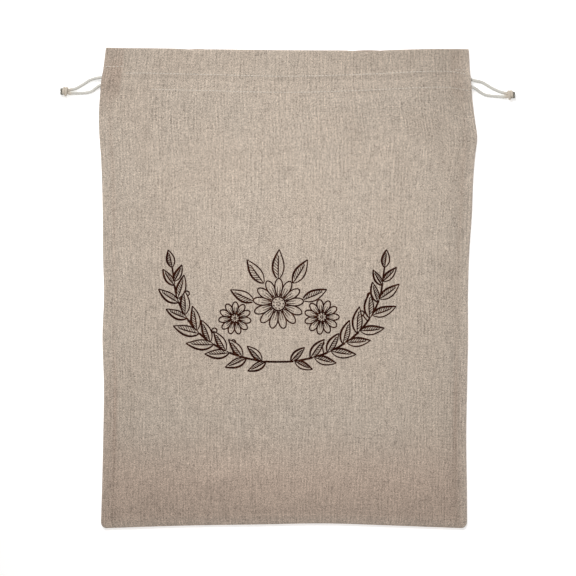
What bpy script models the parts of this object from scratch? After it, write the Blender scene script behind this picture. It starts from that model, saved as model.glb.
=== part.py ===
"""Linen bread bag with two drawcords, lying empty on its back.

Two linen panels are sewn together round the sides and the bottom, then turned
right side out, so the seam allowances lie inside along those edges. The top of
each panel is folded to the inside as a deep hem. Two rows of stitching across
the hem leave a casing between them, and a short gap in each side seam opens
both casings. Two cotton drawcords each run through both casings, turn round
inside one side gap and come out of the other, where the two ends are knotted.

Frame: metres, +X across the bag, +Y towards the mouth, +Z up. The origin is on
the surface that the bag lies on, under the middle of its outline.
"""

import math

import bmesh
import bpy
import numpy as np

MM = 0.001

# The bag
HALF_LENGTH = 200.0 * MM
CLOTH = 1.0 * MM
ALLOWANCE_WIDE = 8.5 * MM
ALLOWANCE_THICK = 0.5 * MM
ALLOWANCE_STEP = 0.4 * MM
CLEAR = 0.3 * MM
CORNER_ROUND = 5.5 * MM
SEAM_RIDGE = 0.3 * MM

# The front panel's height over the surface, measured to its underside
CROWN = 10.8 * MM
CROWN_RUN = 40.0 * MM
CROWN_POWER = 2.2
MOUTH_HIGH = 10.4 * MM
MOUTH_RUN = 38.0 * MM
HEM_BLEND = 14.0 * MM
EDGE_FALL = 60.0 * MM

# The casing, measured from its middle line
CASING_HALF = 6.4 * MM
CASING_SHOULDER = 2.0 * MM
HEM_BELOW_STITCH = 1.6 * MM
HEM_GAP = 0.4 * MM
HEM_SIDE_INSET = 9.5 * MM
FOLD_ROUND = 0.4 * MM

# The drawcords
CORD = 2.4 * MM
CORD_ROOM = 0.4 * MM
CUT_GAP = 0.4 * MM
LANE = 3.2 * MM
EXIT_HIGH = 5.5 * MM
RUN_STOPS_INSIDE = 2.0 * MM
TURN_POINTS = 9
TAIL_POINTS = 16
TUNNEL = CORD + 2 * CORD_ROOM

# Knot of the two cord ends: half sizes along the cord, across it and upwards
KNOT_HALF = (3.5 * MM, 4.4 * MM, 3.7 * MM)
KNOT_FLAT = 0.35 * MM
# Along the knot from the cord's side to the cut ends, and the share of its width there
KNOT_WRAPS = (
    (-1.0, 0.62),
    (-0.9, 0.8),
    (-0.6, 0.93),
    (-0.33, 0.86),
    (-0.05, 1.0),
    (0.3, 0.96),
    (0.52, 0.82),
    (0.8, 0.74),
    (0.96, 0.58),
)
KNOT_SEGMENTS = 16

# Sides of the bag as it lies, in millimetres: height, left side, right side
SIDES = (
    (-200.0, -155.8, 149.0),
    (-165.0, -154.7, 148.8),
    (-125.0, -153.8, 148.3),
    (-80.0, -153.2, 149.0),
    (-40.0, -154.4, 149.8),
    (-8.0, -153.2, 149.7),
    (30.0, -154.0, 150.8),
    (60.0, -154.2, 152.9),
    (92.0, -154.9, 154.2),
    (110.0, -155.7, 155.7),
    (125.5, -156.9, 157.4),
    (140.0, -157.4, 155.5),
    (160.0, -156.5, 153.1),
    (180.0, -154.0, 151.4),
    (200.0, -151.5, 150.4),
)

# Bottom seam, in millimetres: place across the bag, rise above the lowest corner
BOTTOM_RISE = (
    (-156.0, 0.0),
    (-85.0, 2.3),
    (-20.0, 3.3),
    (30.0, 4.1),
    (80.0, 2.6),
    (125.0, 0.9),
    (150.0, 0.0),
)

# Top fold, in millimetres: place across the bag, drop below the highest corner
TOP_DROP = (
    (-152.0, 0.0),
    (-130.0, 0.8),
    (-85.0, 1.7),
    (-30.0, 2.5),
    (90.0, 2.5),
    (125.0, 1.6),
    (150.0, 1.2),
)

# Where the front's mouth sags below the back's, in millimetres: middle, reach, drop
FRONT_SAGS = ((-78.0, 9.0, 0.6), (65.0, 12.0, 1.2))

# Middle line of the casing, in millimetres: place across the bag, height
CASING_LINE = (
    (-157.0, 171.8),
    (-144.0, 171.8),
    (-75.0, 170.4),
    (0.0, 168.8),
    (70.0, 170.8),
    (108.0, 172.6),
    (134.0, 173.0),
    (157.0, 169.6),
)

# Soft folds of the front, in millimetres and degrees:
# middle x, middle y, half length, half width, turn from the X axis, height
FRONT_FOLDS = (
    (-132.0, 23.0, 30.0, 5.0, -5.0, -0.8),
    (130.0, 20.0, 30.0, 5.0, 11.0, -0.8),
    (-95.0, 147.0, 44.0, 10.0, 24.0, -0.9),
    (-84.0, 124.0, 44.0, 13.0, 20.0, 0.7),
    (52.0, 140.0, 24.0, 10.0, 75.0, -0.9),
    (30.0, 128.0, 30.0, 12.0, 84.0, 0.5),
    (99.0, 150.0, 26.0, 9.0, 92.0, -0.8),
    (122.0, 130.0, 34.0, 10.0, -38.0, -0.9),
    (-138.0, 68.0, 34.0, 10.0, 88.0, -0.6),
    (134.0, 70.0, 40.0, 10.0, 94.0, -0.6),
    (-116.0, -124.0, 52.0, 10.0, 92.0, 0.6),
    (-86.0, -130.0, 50.0, 11.0, 88.0, -0.9),
    (-40.0, -118.0, 52.0, 14.0, 94.0, 0.5),
    (28.0, -128.0, 46.0, 11.0, 86.0, -0.7),
    (84.0, -128.0, 48.0, 10.0, 96.0, -0.9),
    (108.0, -122.0, 50.0, 10.0, 90.0, 0.6),
)

# Middle lines of the tails, in millimetres, from the side gap to the knot. Each comes
# down to the surface beside the seam, lies on it and rises a little into its knot.
LEFT_FRONT_TAIL = (
    (-152.9, 175.0, 5.7),
    (-156.0, 174.9, 4.6),
    (-160.4, 174.3, 3.0),
    (-165.0, 172.8, 1.8),
    (-169.2, 170.2, 1.35),
    (-173.4, 167.6, 1.35),
    (-177.6, 165.6, 1.8),
    (-181.8, 164.7, 2.8),
)
LEFT_BACK_TAIL = (
    (-153.8, 168.6, 2.6),
    (-156.5, 168.3, 2.6),
    (-159.6, 166.4, 2.1),
    (-163.0, 163.9, 1.45),
    (-166.6, 162.7, 1.3),
    (-170.6, 162.2, 1.3),
    (-174.8, 162.1, 1.4),
    (-178.6, 162.1, 1.9),
    (-181.8, 161.9, 2.7),
)
RIGHT_FRONT_TAIL = (
    (151.0, 167.4, 5.7),
    (153.6, 166.8, 4.8),
    (156.9, 165.1, 3.5),
    (160.4, 162.6, 2.2),
    (164.2, 160.7, 1.45),
    (168.4, 159.9, 1.3),
    (172.8, 159.5, 1.35),
    (177.2, 159.1, 1.8),
    (181.2, 159.0, 2.7),
)
RIGHT_BACK_TAIL = (
    (150.2, 173.7, 2.6),
    (153.1, 173.1, 2.6),
    (156.8, 172.2, 2.1),
    (161.0, 171.3, 1.45),
    (165.2, 169.0, 1.3),
    (169.5, 166.4, 1.3),
    (173.7, 164.4, 1.4),
    (177.8, 162.8, 1.9),
    (181.2, 161.8, 2.7),
)
LEFT_KNOT_AT = (-185.9, 163.3)
RIGHT_KNOT_AT = (185.4, 160.4)

# Rows of the panels from the bottom seam to the fold at the mouth:
# what the row is measured from, and how far above it, in millimetres
ROWS = (
    ("bottom", 0.0),
    ("bottom", 1.2),
    ("bottom", 3.0),
    ("bottom", 5.5),
    ("bottom", 8.4),
    ("bottom", 8.9),
    ("bottom", 16.0),
    ("bottom", 26.0),
    ("bottom", 40.0),
    ("level", -138.0),
    ("level", -115.0),
    ("level", -90.0),
    ("level", -60.0),
    ("level", -30.0),
    ("level", -5.0),
    ("level", 12.0),
    ("level", 21.0),
    ("level", 30.0),
    ("level", 52.0),
    ("level", 78.0),
    ("level", 100.0),
    ("level", 113.0),
    ("level", 125.5),
    ("level", 138.0),
    ("casing", -22.0),
    ("casing", -15.0),
    ("casing", -8.0),
    ("casing", -6.4),
    ("casing", -4.2),
    ("casing", -1.6),
    ("casing", 1.6),
    ("casing", 4.2),
    ("casing", 6.4),
    ("casing", 13.0),
    ("top", -5.0),
    ("top", -0.4),
)
HEM_FIRST_ROW = ROWS.index(("casing", -8.0))

# Columns near a side seam, in millimetres from it. The hem's inner layer starts at the last.
SEAM_COLUMNS = (0.0, 4.0, 8.4, 8.9, 9.5)
HEM_FIRST_COLUMN = len(SEAM_COLUMNS) - 1
FRONT_MIDDLE_COLUMNS = 23
BACK_MIDDLE_COLUMNS = 15
COLUMN_CROWDING = 0.82
SETTLING_ROUNDS = 4
SHARP_EDGE = math.radians(50)


def clear_scene():
    """Removes whatever the new file holds."""
    for thing in list(bpy.data.objects):
        bpy.data.objects.remove(thing, do_unlink=True)


def material(name, colour, roughness):
    """A Principled material of one colour."""
    made = bpy.data.materials.new(name)
    made.use_nodes = True
    shader = made.node_tree.nodes["Principled BSDF"]
    shader.inputs["Base Color"].default_value = (*colour, 1.0)
    shader.inputs["Roughness"].default_value = roughness
    return made


def smooth_line(known, value, at):
    """A smooth line through points: cubic pieces whose slopes come from the points beside them."""
    slope = np.gradient(value, known)
    at = np.clip(at, known[0], known[-1])
    left = np.clip(np.searchsorted(known, at, side="right") - 1, 0, len(known) - 2)
    step = known[left + 1] - known[left]
    t = (at - known[left]) / step
    rising = t * t * (3 - 2 * t)
    start_slope = t * (1 - t) ** 2 * step * slope[left]
    end_slope = t * t * (t - 1) * step * slope[left + 1]
    return value[left] * (1 - rising) + value[left + 1] * rising + start_slope + end_slope


def read(table, column, at):
    """One column of a table in millimetres, read smoothly at places given in metres."""
    rows = np.array(table) * MM
    return smooth_line(rows[:, 0], rows[:, column], at)


def smooth_step(t):
    """0 below 0, 1 above 1, and an S curve between."""
    t = np.clip(t, 0.0, 1.0)
    return t * t * (3 - 2 * t)


def rise(t):
    """How full the bag is at a share of the way in from a seam: steep at first, then level."""
    return 1 - (1 - np.clip(t, 0.0, 1.0)) ** CROWN_POWER


def casing_line(x):
    """Height of the casing's middle line at each place across the bag."""
    return read(CASING_LINE, 1, x)


def side_edges(y):
    """(middle, half width) of the bag at a height, with the bottom corners rounded."""
    left, right = read(SIDES, 1, y), read(SIDES, 2, y)
    above = np.clip(y + HALF_LENGTH, 0.0, CORNER_ROUND)
    cut = CORNER_ROUND - np.sqrt(CORNER_ROUND**2 - (CORNER_ROUND - above) ** 2)
    return (left + right) / 2, (right - left) / 2 - cut


def front_sag(x):
    """How far the front's mouth lies below the back's at each place across the bag."""
    total = np.zeros_like(x)
    for middle, reach, drop in FRONT_SAGS:
        total += drop * MM * np.exp(-(((x - middle * MM) / (reach * MM)) ** 2))
    return total


def base_line(base, x, sag):
    """Height of the line that a row is measured from, at each place across the bag."""
    if base == "bottom":
        return np.full_like(x, -HALF_LENGTH)
    if base == "casing":
        return casing_line(x)
    if base == "top":
        return HALF_LENGTH - read(TOP_DROP, 1, x) - sag(x)
    return np.zeros_like(x)


def across(columns, height_at):
    """(x, y, half width) at each column along a line that bends up and down across the bag.

    The line's height depends on x, and the bag's width on y, so a few rounds settle both.
    """
    x = columns * side_edges(0.0)[1]
    for _ in range(SETTLING_ROUNDS):
        y = height_at(x)
        middle, half = side_edges(y)
        x = middle + half * columns
    return x, y, half


def cloth_grid(columns, sag):
    """(x, y, distance from the side seam) of every row and column of a panel."""
    rows = [across(columns, lambda x: base_line(base, x, sag) + offset * MM) for base, offset in ROWS]
    x, flat_y, half = np.array(rows).transpose(1, 0, 2)
    lift = read(BOTTOM_RISE, 1, x) * (1 - smooth_step((flat_y + HALF_LENGTH) / EDGE_FALL))
    return x, flat_y + lift, half * (1 - np.abs(columns))


def casing_share(x, y):
    """1 inside the casing, 0 at its two rows of stitching and beyond."""
    away = np.abs(y - casing_line(x))
    return np.clip((CASING_HALF - away) / CASING_SHOULDER, 0.0, 1.0)


def layer_gap(x, y):
    """Room between a hem's two layers: the cord's in the casing, and hardly any elsewhere."""
    return HEM_GAP + (TUNNEL - HEM_GAP) * casing_share(x, y)


def allowance(x, y, from_side):
    """Extra thickness of the turned-in seam allowance, which stops at the gap in the side seam."""
    beside = 1 - np.clip((from_side - ALLOWANCE_WIDE + ALLOWANCE_STEP) / ALLOWANCE_STEP, 0, 1)
    beside = beside * (1 - casing_share(x, y))
    above_bottom = y + HALF_LENGTH - read(BOTTOM_RISE, 1, x)
    along = 1 - np.clip((above_bottom - ALLOWANCE_WIDE + ALLOWANCE_STEP) / ALLOWANCE_STEP, 0, 1)
    return ALLOWANCE_THICK * np.maximum(beside, along)


def back_hem_top(x, y):
    """Upper side of the back hem's inner layer."""
    return CLOTH + layer_gap(x, y) + CLOTH


def front_hem_under(x, y, from_side):
    """Underside of the front hem's inner layer: close to the back's at the sides, open between."""
    low = back_hem_top(x, y) + HEM_GAP
    share = rise((from_side - HEM_SIDE_INSET) / MOUTH_RUN)
    return low + (MOUTH_HIGH - low) * share


def folds(x, y):
    """Sum of the front's soft folds, each a rounded ridge or trough of limited length."""
    total = np.zeros_like(x)
    for mid_x, mid_y, half_long, half_wide, turn, height in FRONT_FOLDS:
        away_x, away_y = x - mid_x * MM, y - mid_y * MM
        c, s = math.cos(math.radians(turn)), math.sin(math.radians(turn))
        along = (away_x * c + away_y * s) / (half_long * MM)
        aside = (away_y * c - away_x * s) / (half_wide * MM)
        total += height * MM * np.exp(-(along**2) - aside**2)
    return total


def front_under(x, y, from_side):
    """Underside of the front panel's outer layer."""
    seam = CLOTH + ALLOWANCE_THICK + CLEAR + ALLOWANCE_THICK
    above_bottom = y + HALF_LENGTH - read(BOTTOM_RISE, 1, x)
    full = rise(from_side / CROWN_RUN) * rise(above_bottom / CROWN_RUN)
    body = seam + (CROWN - seam + folds(x, y)) * full
    at_hem_side = np.maximum(from_side, HEM_SIDE_INSET)
    hem = front_hem_under(x, y, at_hem_side) + CLOTH + layer_gap(x, y)
    edge_high = EXIT_HIGH + TUNNEL / 2
    edge = seam + (edge_high - seam) * casing_share(x, y)
    hem = edge + (hem - edge) * smooth_step(from_side / HEM_SIDE_INSET)
    hem_end = casing_line(x) - CASING_HALF - HEM_BELOW_STITCH
    return body + (hem - body) * smooth_step((y - hem_end + HEM_BLEND) / HEM_BLEND)


def column_shares(middle_columns):
    """Columns from the left side seam, -1, to the right one, 1, closer together near the seams."""
    half = side_edges(0.0)[1]
    near_seam = 1 - np.array(SEAM_COLUMNS) * MM / half
    span = np.linspace(-1, 1, middle_columns + 2)[1:-1]
    middle = near_seam[-1] * (COLUMN_CROWDING * span + (1 - COLUMN_CROWDING) * np.sin(span * math.pi / 2))
    return np.concatenate([-near_seam, middle, near_seam[::-1]])


def strip(shape, first, second):
    """Quads between two lines of vertices of equal length."""
    for i in range(len(first) - 1):
        shape.faces.new((first[i], first[i + 1], second[i + 1], second[i]))


def add_layer(shape, points):
    """One side of a layer of cloth as a grid of quads; returns its vertices by row and column."""
    grid = [[shape.verts.new(point) for point in row] for row in points]
    for below, above in zip(grid, grid[1:]):
        strip(shape, below, above)
    return grid


def add_finished(shape, name, colour):
    """Turns a closed shape's faces outwards and adds it to the scene as one object."""
    bmesh.ops.recalc_face_normals(shape, faces=shape.faces)
    mesh = bpy.data.meshes.new(name)
    shape.to_mesh(mesh)
    shape.free()
    mesh.shade_smooth()
    mesh.set_sharp_from_angle(angle=SHARP_EDGE)
    mesh.materials.append(colour)
    bpy.context.scene.collection.objects.link(bpy.data.objects.new(name, mesh))


def panel(name, x, y, face, inside, hem_face, hem_inside, colour):
    """One panel with its hem folded to the inside, as a single closed solid.

    face and inside are the heights of the outer layer's two sides. hem_inside
    faces the outer layer and hem_face faces the hollow of the bag. The hem's
    inner layer leaves out the columns next to the side seams.
    """
    first, last = HEM_FIRST_COLUMN, x.shape[1] - HEM_FIRST_COLUMN
    hem_rows, hem_columns = slice(HEM_FIRST_ROW, None), slice(first, last)
    hem = (hem_rows, hem_columns)
    inner_y = y.copy()
    inner_y[-1] -= CLOTH
    shape = bmesh.new()
    outer = add_layer(shape, np.stack([x, y, face], axis=2))
    inner = add_layer(shape, np.stack([x, inner_y, inside], axis=2))
    far = add_layer(shape, np.stack([x[hem], y[hem], hem_face[hem]], axis=2))
    near = add_layer(shape, np.stack([x[hem], inner_y[hem], hem_inside[hem]], axis=2))

    # The fold at the mouth bulges a little past the two layers that it joins
    crest_z = (face[-1, hem_columns] + hem_face[-1, hem_columns]) / 2
    crest_y = y[-1, hem_columns] + FOLD_ROUND
    crest = [shape.verts.new(point) for point in zip(x[-1, hem_columns], crest_y, crest_z)]
    strip(shape, outer[-1][hem_columns], crest)
    strip(shape, crest, far[-1])
    strip(shape, inner[-1][hem_columns], near[-1])

    # Cut edges: the bottom, the two sides, the mouth beside the fold and the hem's own three
    strip(shape, outer[0], inner[0])
    strip(shape, far[0], near[0])
    for beside in (slice(0, first + 1), slice(last - 1, None)):
        strip(shape, outer[-1][beside], inner[-1][beside])
    for column, end in ((0, first), (-1, last - 1)):
        strip(shape, [row[column] for row in outer], [row[column] for row in inner])
        strip(shape, [row[column] for row in far], [row[column] for row in near])
        shape.faces.new((outer[-1][end], crest[column], far[-1][column], near[-1][column], inner[-1][end]))
    add_finished(shape, name, colour)


def front_panel(linen):
    columns = column_shares(FRONT_MIDDLE_COLUMNS)
    x, y, from_side = cloth_grid(columns, front_sag)
    under = front_under(x, y, from_side)
    hem_under = front_hem_under(x, y, from_side)
    extra = allowance(x, y, from_side)
    face = under + CLOTH + SEAM_RIDGE * extra / ALLOWANCE_THICK
    panel("front_panel", x, y, face, under - extra, hem_under, hem_under + CLOTH, linen)


def back_panel(linen):
    columns = column_shares(BACK_MIDDLE_COLUMNS)
    x, y, from_side = cloth_grid(columns, np.zeros_like)
    top = CLOTH + allowance(x, y, from_side)
    hem_top = back_hem_top(x, y)
    panel("back_panel", x, y, np.zeros_like(x), top, hem_top, hem_top - CLOTH, linen)


def lane(columns, side_of_middle, in_front):
    """Middle of a cord along one casing: on its lane, half way between the hem's two layers."""
    x, y, half = across(columns, lambda x: casing_line(x) + side_of_middle * LANE)
    from_side = half * (1 - np.abs(columns))
    if not in_front:
        return np.stack([x, y, np.full_like(x, CLOTH + TUNNEL / 2)], axis=1)
    under = front_under(x, y, from_side)
    return np.stack([x, y, under - TUNNEL / 2], axis=1)


def cord_run(tail_side):
    """Points of a drawcord's run, from one end inside the side gap to the other.

    tail_side is -1 for the cord whose tails are at the left and 1 for the right.
    The left cord takes the upper lane of the front casing and the lower lane of
    the back one, and the right cord takes the other two, so they never cross.
    """
    under_hem = column_shares(FRONT_MIDDLE_COLUMNS)[HEM_FIRST_COLUMN:-HEM_FIRST_COLUMN]
    stop = 1 - RUN_STOPS_INSIDE / side_edges(0.0)[1]
    columns = np.concatenate([[tail_side * stop], under_hem[::-tail_side]])
    out = lane(columns, -tail_side, True)
    back = lane(columns, tail_side, False)[::-1]
    centre, spoke = (out[-1] + back[0]) / 2, (out[-1] - back[0]) / 2
    bulge = np.array([-tail_side * np.linalg.norm(spoke), 0.0, 0.0])
    angles = np.linspace(0, math.pi, TURN_POINTS + 2)[1:-1]
    turn = [centre + spoke * math.cos(a) + bulge * math.sin(a) for a in angles]
    return np.concatenate([out, turn, back])


def cord_tube(name, points, cotton):
    """A cord as a round tube with closed ends along the points."""
    curve = bpy.data.curves.new(name, "CURVE")
    curve.dimensions = "3D"
    curve.bevel_depth = CORD / 2
    curve.bevel_resolution = 2
    curve.use_fill_caps = True
    line = curve.splines.new("POLY")
    line.points.add(len(points) - 1)
    line.points.foreach_set("co", np.column_stack([points, np.ones(len(points))]).ravel())
    curve.materials.append(cotton)
    bpy.context.scene.collection.objects.link(bpy.data.objects.new(name, curve))


def smooth_route(points, count):
    """Evenly counted points on a smooth curve through the route's own points."""
    route = np.array(points) * MM
    along = np.concatenate([[0], np.cumsum(np.linalg.norm(np.diff(route, axis=0), axis=1))])
    at = np.linspace(0, along[-1], count)
    return np.stack([smooth_line(along, route[:, axis], at) for axis in range(3)], axis=1)


def end_facing(route):
    """Where a run ends, so that its end face lies just inside the bag from a tail's first point."""
    first, second = np.array(route[:2]) * MM
    inwards = (first - second) / np.linalg.norm(first - second)
    return first + CUT_GAP * inwards


def knot(name, place, tail_side, cotton):
    """The two ends' knot: three rounded wraps side by side, a little flat where it rests."""
    half_long, half_wide, half_high = KNOT_HALF
    angles = np.arange(KNOT_SEGMENTS) * 2 * math.pi / KNOT_SEGMENTS
    shape = bmesh.new()
    rings = []
    for along, wide in KNOT_WRAPS:
        x = place[0] * MM + tail_side * along * half_long
        y = place[1] * MM + wide * half_wide * np.cos(angles)
        z = np.maximum(half_high - KNOT_FLAT + wide * half_high * np.sin(angles), 0.0)
        rings.append([shape.verts.new(p) for p in zip(np.full_like(y, x), y, z)])
    for near, far in zip(rings, rings[1:]):
        strip(shape, [*near, near[0]], [*far, far[0]])
    shape.faces.new(rings[0])
    shape.faces.new(rings[-1])
    add_finished(shape, name, cotton)


def drawcord(side, tail_side, front_route, back_route, knot_place, cotton):
    """One drawcord: its run through both casings, its two tails and their knot."""
    run = cord_run(tail_side)
    run[0], run[-1] = end_facing(front_route), end_facing(back_route)
    cord_tube(f"{side}_cord_run", run, cotton)
    cord_tube(f"{side}_tail_front", smooth_route(front_route, TAIL_POINTS), cotton)
    cord_tube(f"{side}_tail_back", smooth_route(back_route, TAIL_POINTS), cotton)
    knot(f"{side}_knot", knot_place, tail_side, cotton)


def main():
    clear_scene()
    linen = material("natural linen", (0.42, 0.355, 0.285), 0.95)
    cotton = material("cotton cord", (0.70, 0.68, 0.62), 0.9)
    back_panel(linen)
    front_panel(linen)
    drawcord("left", -1, LEFT_FRONT_TAIL, LEFT_BACK_TAIL, LEFT_KNOT_AT, cotton)
    drawcord("right", 1, RIGHT_FRONT_TAIL, RIGHT_BACK_TAIL, RIGHT_KNOT_AT, cotton)


main()
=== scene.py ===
# %% [markdown]
# # A linen bread bag with two drawcords
# The bag is two linen panels, sewn together round the sides and the bottom and turned right
# side out. The top of each panel is folded to the inside as a deep hem, and two rows of
# stitching across the hem make a casing. A cotton drawcord comes out of each side of the
# casing, and a knot ties its two ends.
#
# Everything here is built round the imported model, which holds the plain solids at their real
# size. This script dresses them: thin cloth, stitches, twisted cord, print and light.

import bmesh
import bpy
import numpy as np
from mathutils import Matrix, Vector


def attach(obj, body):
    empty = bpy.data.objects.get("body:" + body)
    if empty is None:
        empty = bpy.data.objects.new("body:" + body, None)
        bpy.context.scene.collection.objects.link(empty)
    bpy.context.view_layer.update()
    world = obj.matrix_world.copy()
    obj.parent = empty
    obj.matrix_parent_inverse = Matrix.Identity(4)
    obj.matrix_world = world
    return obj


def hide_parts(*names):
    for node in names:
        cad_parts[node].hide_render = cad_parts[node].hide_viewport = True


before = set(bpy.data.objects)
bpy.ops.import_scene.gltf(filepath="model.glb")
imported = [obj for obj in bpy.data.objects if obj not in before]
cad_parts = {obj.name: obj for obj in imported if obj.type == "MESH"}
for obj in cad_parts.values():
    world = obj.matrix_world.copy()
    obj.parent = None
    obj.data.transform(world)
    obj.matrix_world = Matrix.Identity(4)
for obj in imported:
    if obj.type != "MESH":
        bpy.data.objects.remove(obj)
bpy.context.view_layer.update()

MM = 0.001
SEED = 7

# %% [markdown]
# ## The camera
# The photograph looks straight down on the bag. Its frame is 478 mm wide at the height of the
# cloth. A long lens from far away keeps the thick middle of the bag from looking larger than
# its flat edges, so the camera's distance follows from the lens and the width of the frame.

# %% Camera straight above
LENS = 200.0
SENSOR = 36.0
PHOTO_WIDE = 478.1 * MM
SHARP_HIGH = 8.0 * MM

lens = bpy.data.cameras.new("camera")
lens.lens = LENS
lens.sensor_width = SENSOR
camera = bpy.data.objects.new("camera", lens)
camera.location = (0.0, 0.0, SHARP_HIGH + PHOTO_WIDE * LENS / SENSOR)
bpy.context.scene.collection.objects.link(camera)
bpy.context.scene.camera = camera
print("camera height, m:", round(camera.location.z, 3))

# %% [markdown]
# ## Smooth lines through a few measured points
# The outline of a hand-sewn bag is never straight. Each edge is measured at a few places, and
# a smooth line runs through them. A cubic piece between two points leaves each of them with
# the slope of its neighbours, so the line has no corners.


# %% Smooth lines and steps
def smooth_line(known, value, at):
    """A cubic piece between each two points, whose end slopes come from the points beside them."""
    slope = np.gradient(value, known)
    at = np.clip(at, known[0], known[-1])
    left = np.clip(np.searchsorted(known, at, side="right") - 1, 0, len(known) - 2)
    step = known[left + 1] - known[left]
    t = (at - known[left]) / step
    rising = t * t * (3 - 2 * t)
    start_slope = t * (1 - t) ** 2 * step * slope[left]
    end_slope = t * t * (t - 1) * step * slope[left + 1]
    return value[left] * (1 - rising) + value[left + 1] * rising + start_slope + end_slope


def read(table, column, at):
    """One column of a table in millimetres, read smoothly at places given in metres."""
    rows = np.array(table) * MM
    return smooth_line(rows[:, 0], rows[:, column], at)


def smooth_step(t):
    """0 below 0, 1 above 1, and 3 t squared less 2 t cubed between."""
    t = np.clip(t, 0.0, 1.0)
    return t * t * (3 - 2 * t)


def bump(away, reach):
    """A soft bump: 1 at 0, falling as e to the power of minus (away / reach) squared."""
    return np.exp(-((away / reach) ** 2))


# %% [markdown]
# ## From grids of points to pieces
# Every new piece is a surface with two parameters, worked out as one array of rows and
# columns of points. Neighbouring points make the four corners of a face. A tube is such a
# grid too: its rows are rings along a path, and its last column joins its first.


# %% Grids and pieces
def grid_faces(rows, columns, wrap=False):
    """Corners of the quads of a grid, counted row by row. A wrapped grid joins its two sides."""
    index = np.arange(rows * columns).reshape(rows, columns)
    if wrap:
        index = np.concatenate([index, index[:, :1]], axis=1)
    corners = (index[:-1, :-1], index[:-1, 1:], index[1:, 1:], index[1:, :-1])
    return np.stack(corners, axis=-1).reshape(-1, 4)


def several(points):
    """Faces of many equal wrapped grids: an array of shapes, rows and columns of points."""
    shapes, rows, columns = points.shape[:3]
    first = np.arange(shapes)[:, None, None] * rows * columns
    return (first + grid_faces(rows, columns, wrap=True)).reshape(-1, 4)


def add_piece(name, points, faces, material, closed=False, uv=None, marks=()):
    """A mesh object from arrays. Marks are named values at the points, numbers or vectors.

    A closed piece has doubled points at its poles merged and its faces turned outwards.
    """
    mesh = bpy.data.meshes.new(name)
    mesh.from_pydata(points.reshape(-1, 3).tolist(), [], faces.tolist())
    for mark, value in dict(marks).items():
        kind, field = ("FLOAT_VECTOR", "vector") if value.shape[-1] == 3 else ("FLOAT", "value")
        made = mesh.attributes.new(mark, kind, "POINT")
        made.data.foreach_set(field, value.astype(np.float32).ravel())
    if uv is not None:
        corner = np.empty(len(mesh.loops), dtype=np.int32)
        mesh.loops.foreach_get("vertex_index", corner)
        layer = mesh.uv_layers.new(name="cloth")
        layer.data.foreach_set("uv", uv.reshape(-1, 2)[corner].astype(np.float32).ravel())
    if closed:
        shape = bmesh.new()
        shape.from_mesh(mesh)
        bmesh.ops.remove_doubles(shape, verts=shape.verts, dist=0.001 * MM)
        bmesh.ops.recalc_face_normals(shape, faces=shape.faces)
        shape.to_mesh(mesh)
        shape.free()
    mesh.shade_smooth()
    mesh.materials.append(material)
    piece = bpy.data.objects.new(name, mesh)
    bpy.context.scene.collection.objects.link(piece)
    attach(piece, "root")
    print(name, "has", len(mesh.polygons), "faces")
    return piece


# %% [markdown]
# ## Materials from small building blocks
# A fabric's finish is a handful of noises added up, so a short helper makes one node and
# joins it to the ones before. A value or another node's output may be given for each socket.


# %% Node helpers
def add_node(tree, kind, inputs=(), **settings):
    """One node with its settings; inputs maps a socket to a number, a colour or an output."""
    made = tree.nodes.new(kind)
    for setting, value in settings.items():
        setattr(made, setting, value)
    for socket, value in dict(inputs).items():
        if isinstance(value, bpy.types.NodeSocket):
            tree.links.new(value, made.inputs[socket])
        else:
            made.inputs[socket].default_value = value
    return made


def sums(tree, operation, first, second):
    """The output of a Math node with two inputs."""
    return add_node(tree, "ShaderNodeMath", {0: first, 1: second}, operation=operation).outputs[0]


def noise(tree, place, stretch, detail=1.0):
    """Noise between 0 and 1 on a place in metres; stretch is its counts to the metre each way."""
    scaled = add_node(tree, "ShaderNodeVectorMath", {0: place, 1: stretch}, operation="MULTIPLY")
    made = add_node(tree, "ShaderNodeTexNoise", {"Vector": scaled.outputs[0], "Scale": 1.0, "Detail": detail})
    return made.outputs["Fac"]


def between(tree, value, low, high):
    """0 where the value is under low, 1 where it is over high, and a smooth rise between."""
    inputs = {0: value, 1: low, 2: high, 3: 0.0, 4: 1.0}
    return add_node(tree, "ShaderNodeMapRange", inputs, interpolation_type="SMOOTHSTEP").outputs[0]


def swing(tree, value, size):
    """The value's distance from one half, times the size."""
    return sums(tree, "MULTIPLY", sums(tree, "SUBTRACT", value, 0.5), size)


def blended(tree, share, first, second):
    """One colour turning into another as the share goes from 0 to 1."""
    inputs = {0: share, 6: first, 7: second}
    return add_node(tree, "ShaderNodeMix", inputs, data_type="RGBA").outputs[2]


def brightened(tree, colour, factor):
    """A colour times a number."""
    made = add_node(tree, "ShaderNodeVectorMath", {0: colour, 3: factor}, operation="SCALE")
    return made.outputs[0]


def new_material(name, roughness, sheen):
    """(material, node tree, shader) of a matt Principled material with a little fibre sheen."""
    material = bpy.data.materials.new(name)
    material.use_nodes = True
    tree = material.node_tree
    shader = tree.nodes["Principled BSDF"]
    shader.inputs["Roughness"].default_value = roughness
    shader.inputs["Specular IOR Level"].default_value = 0.2
    shader.inputs["Sheen Weight"].default_value = sheen
    shader.inputs["Sheen Roughness"].default_value = 0.6
    return material, tree, shader


def raised(tree, shader, height, strength, distance):
    """Leads a height through a Bump node into the shader's normal."""
    inputs = {"Height": height, "Strength": strength, "Distance": distance}
    made = add_node(tree, "ShaderNodeBump", inputs)
    tree.links.new(made.outputs[0], shader.inputs["Normal"])
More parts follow.
